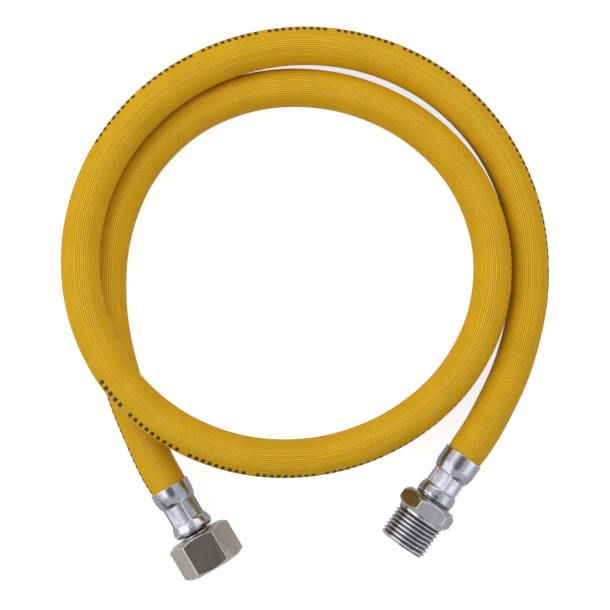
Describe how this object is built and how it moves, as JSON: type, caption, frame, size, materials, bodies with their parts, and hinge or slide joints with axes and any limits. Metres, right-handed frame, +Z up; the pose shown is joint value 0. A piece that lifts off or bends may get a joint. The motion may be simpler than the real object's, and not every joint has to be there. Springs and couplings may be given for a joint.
{
  "type": "flexible gas hose",
  "caption": "Flexible ribbed gas hose lying in a loose coil, with crimped ferrules, a hex swivel nut with washer on one end and a fixed male thread fitting on the other.",
  "frame": {"origin": "centre of the whole object's box seen from above, on the surface that it lies on", "axes": "+Z up from that surface; +Y away from the two fittings, along the coil's longer side; +X to the right, towards the male fitting's side"},
  "size_m": [0.2017, 0.2299, 0.033],
  "materials": {
    "hose_yellow": "satin yellow hose cover with fine lengthwise ribs",
    "ferrule_zinc": "bright zinc plate on pressed sheet, with fine lengthwise press lines",
    "tail_brass": "turned brass",
    "nut_nickel": "satin nickel plate, lightly scratched",
    "male_nickel": "satin nickel plate on turned brass",
    "washer_black": "matte black seal"
  },
  "bodies": {
    "hose_body": {"hose": "hose_yellow", "nut_end_ferrule": "ferrule_zinc", "male_end_ferrule": "ferrule_zinc", "hose_tail": "tail_brass", "male_fitting": "male_nickel"},
    "washer": {"sealing_washer": "washer_black"},
    "nut": {"swivel_nut": "nut_nickel"}
  },
  "joints": [
    {"name": "nut_slide", "type": "slide", "parent": "hose_body", "child": "washer", "axis": [0.5075, -0.8616, 0], "range_m": [0, 0.001]},
    {"name": "nut_spin", "type": "hinge", "parent": "washer", "child": "nut", "pos_m": [-0.04142, -0.10245, 0.012], "axis": [0.5075, -0.8616, 0], "continuous": true}
  ]
}
